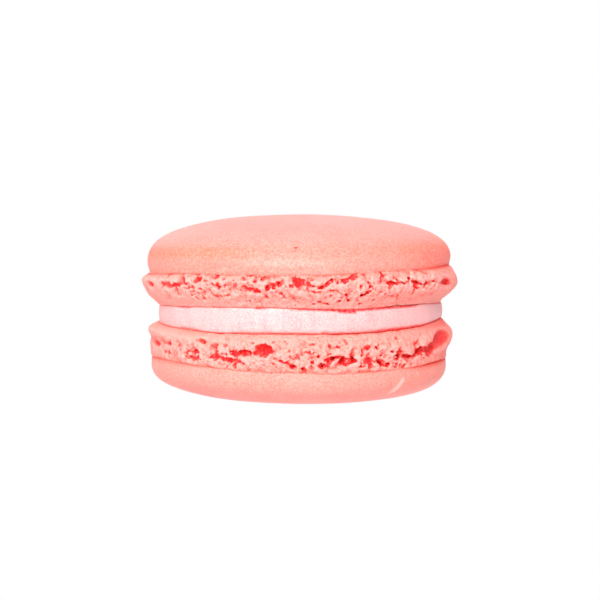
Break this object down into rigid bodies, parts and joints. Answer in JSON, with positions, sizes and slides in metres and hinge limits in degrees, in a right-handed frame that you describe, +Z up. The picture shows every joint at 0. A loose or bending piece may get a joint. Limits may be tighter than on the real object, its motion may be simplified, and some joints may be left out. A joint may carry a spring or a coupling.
{
  "type": "macaron",
  "caption": "Round pink macaron: domed almond-meringue shells with a ruffled sponge foot, base to base on a disc of cream.",
  "frame": {"origin": "on the lower shell's axis, in the small flat spot on which its dome rests", "axes": "+Z up through both shells, -Y towards the front of the picture, +X to its right"},
  "size_m": [0.046, 0.046, 0.0264],
  "materials": {
    "shell": "baked almond meringue: smooth, satin skin, and a matt, open, crumbly foot",
    "cream": "soft pale pink butter cream, satin, faintly ribbed"
  },
  "bodies": {
    "root": {"lower_shell": "shell", "cream_filling": "cream", "upper_shell": "shell"}
  },
  "joints": []
}
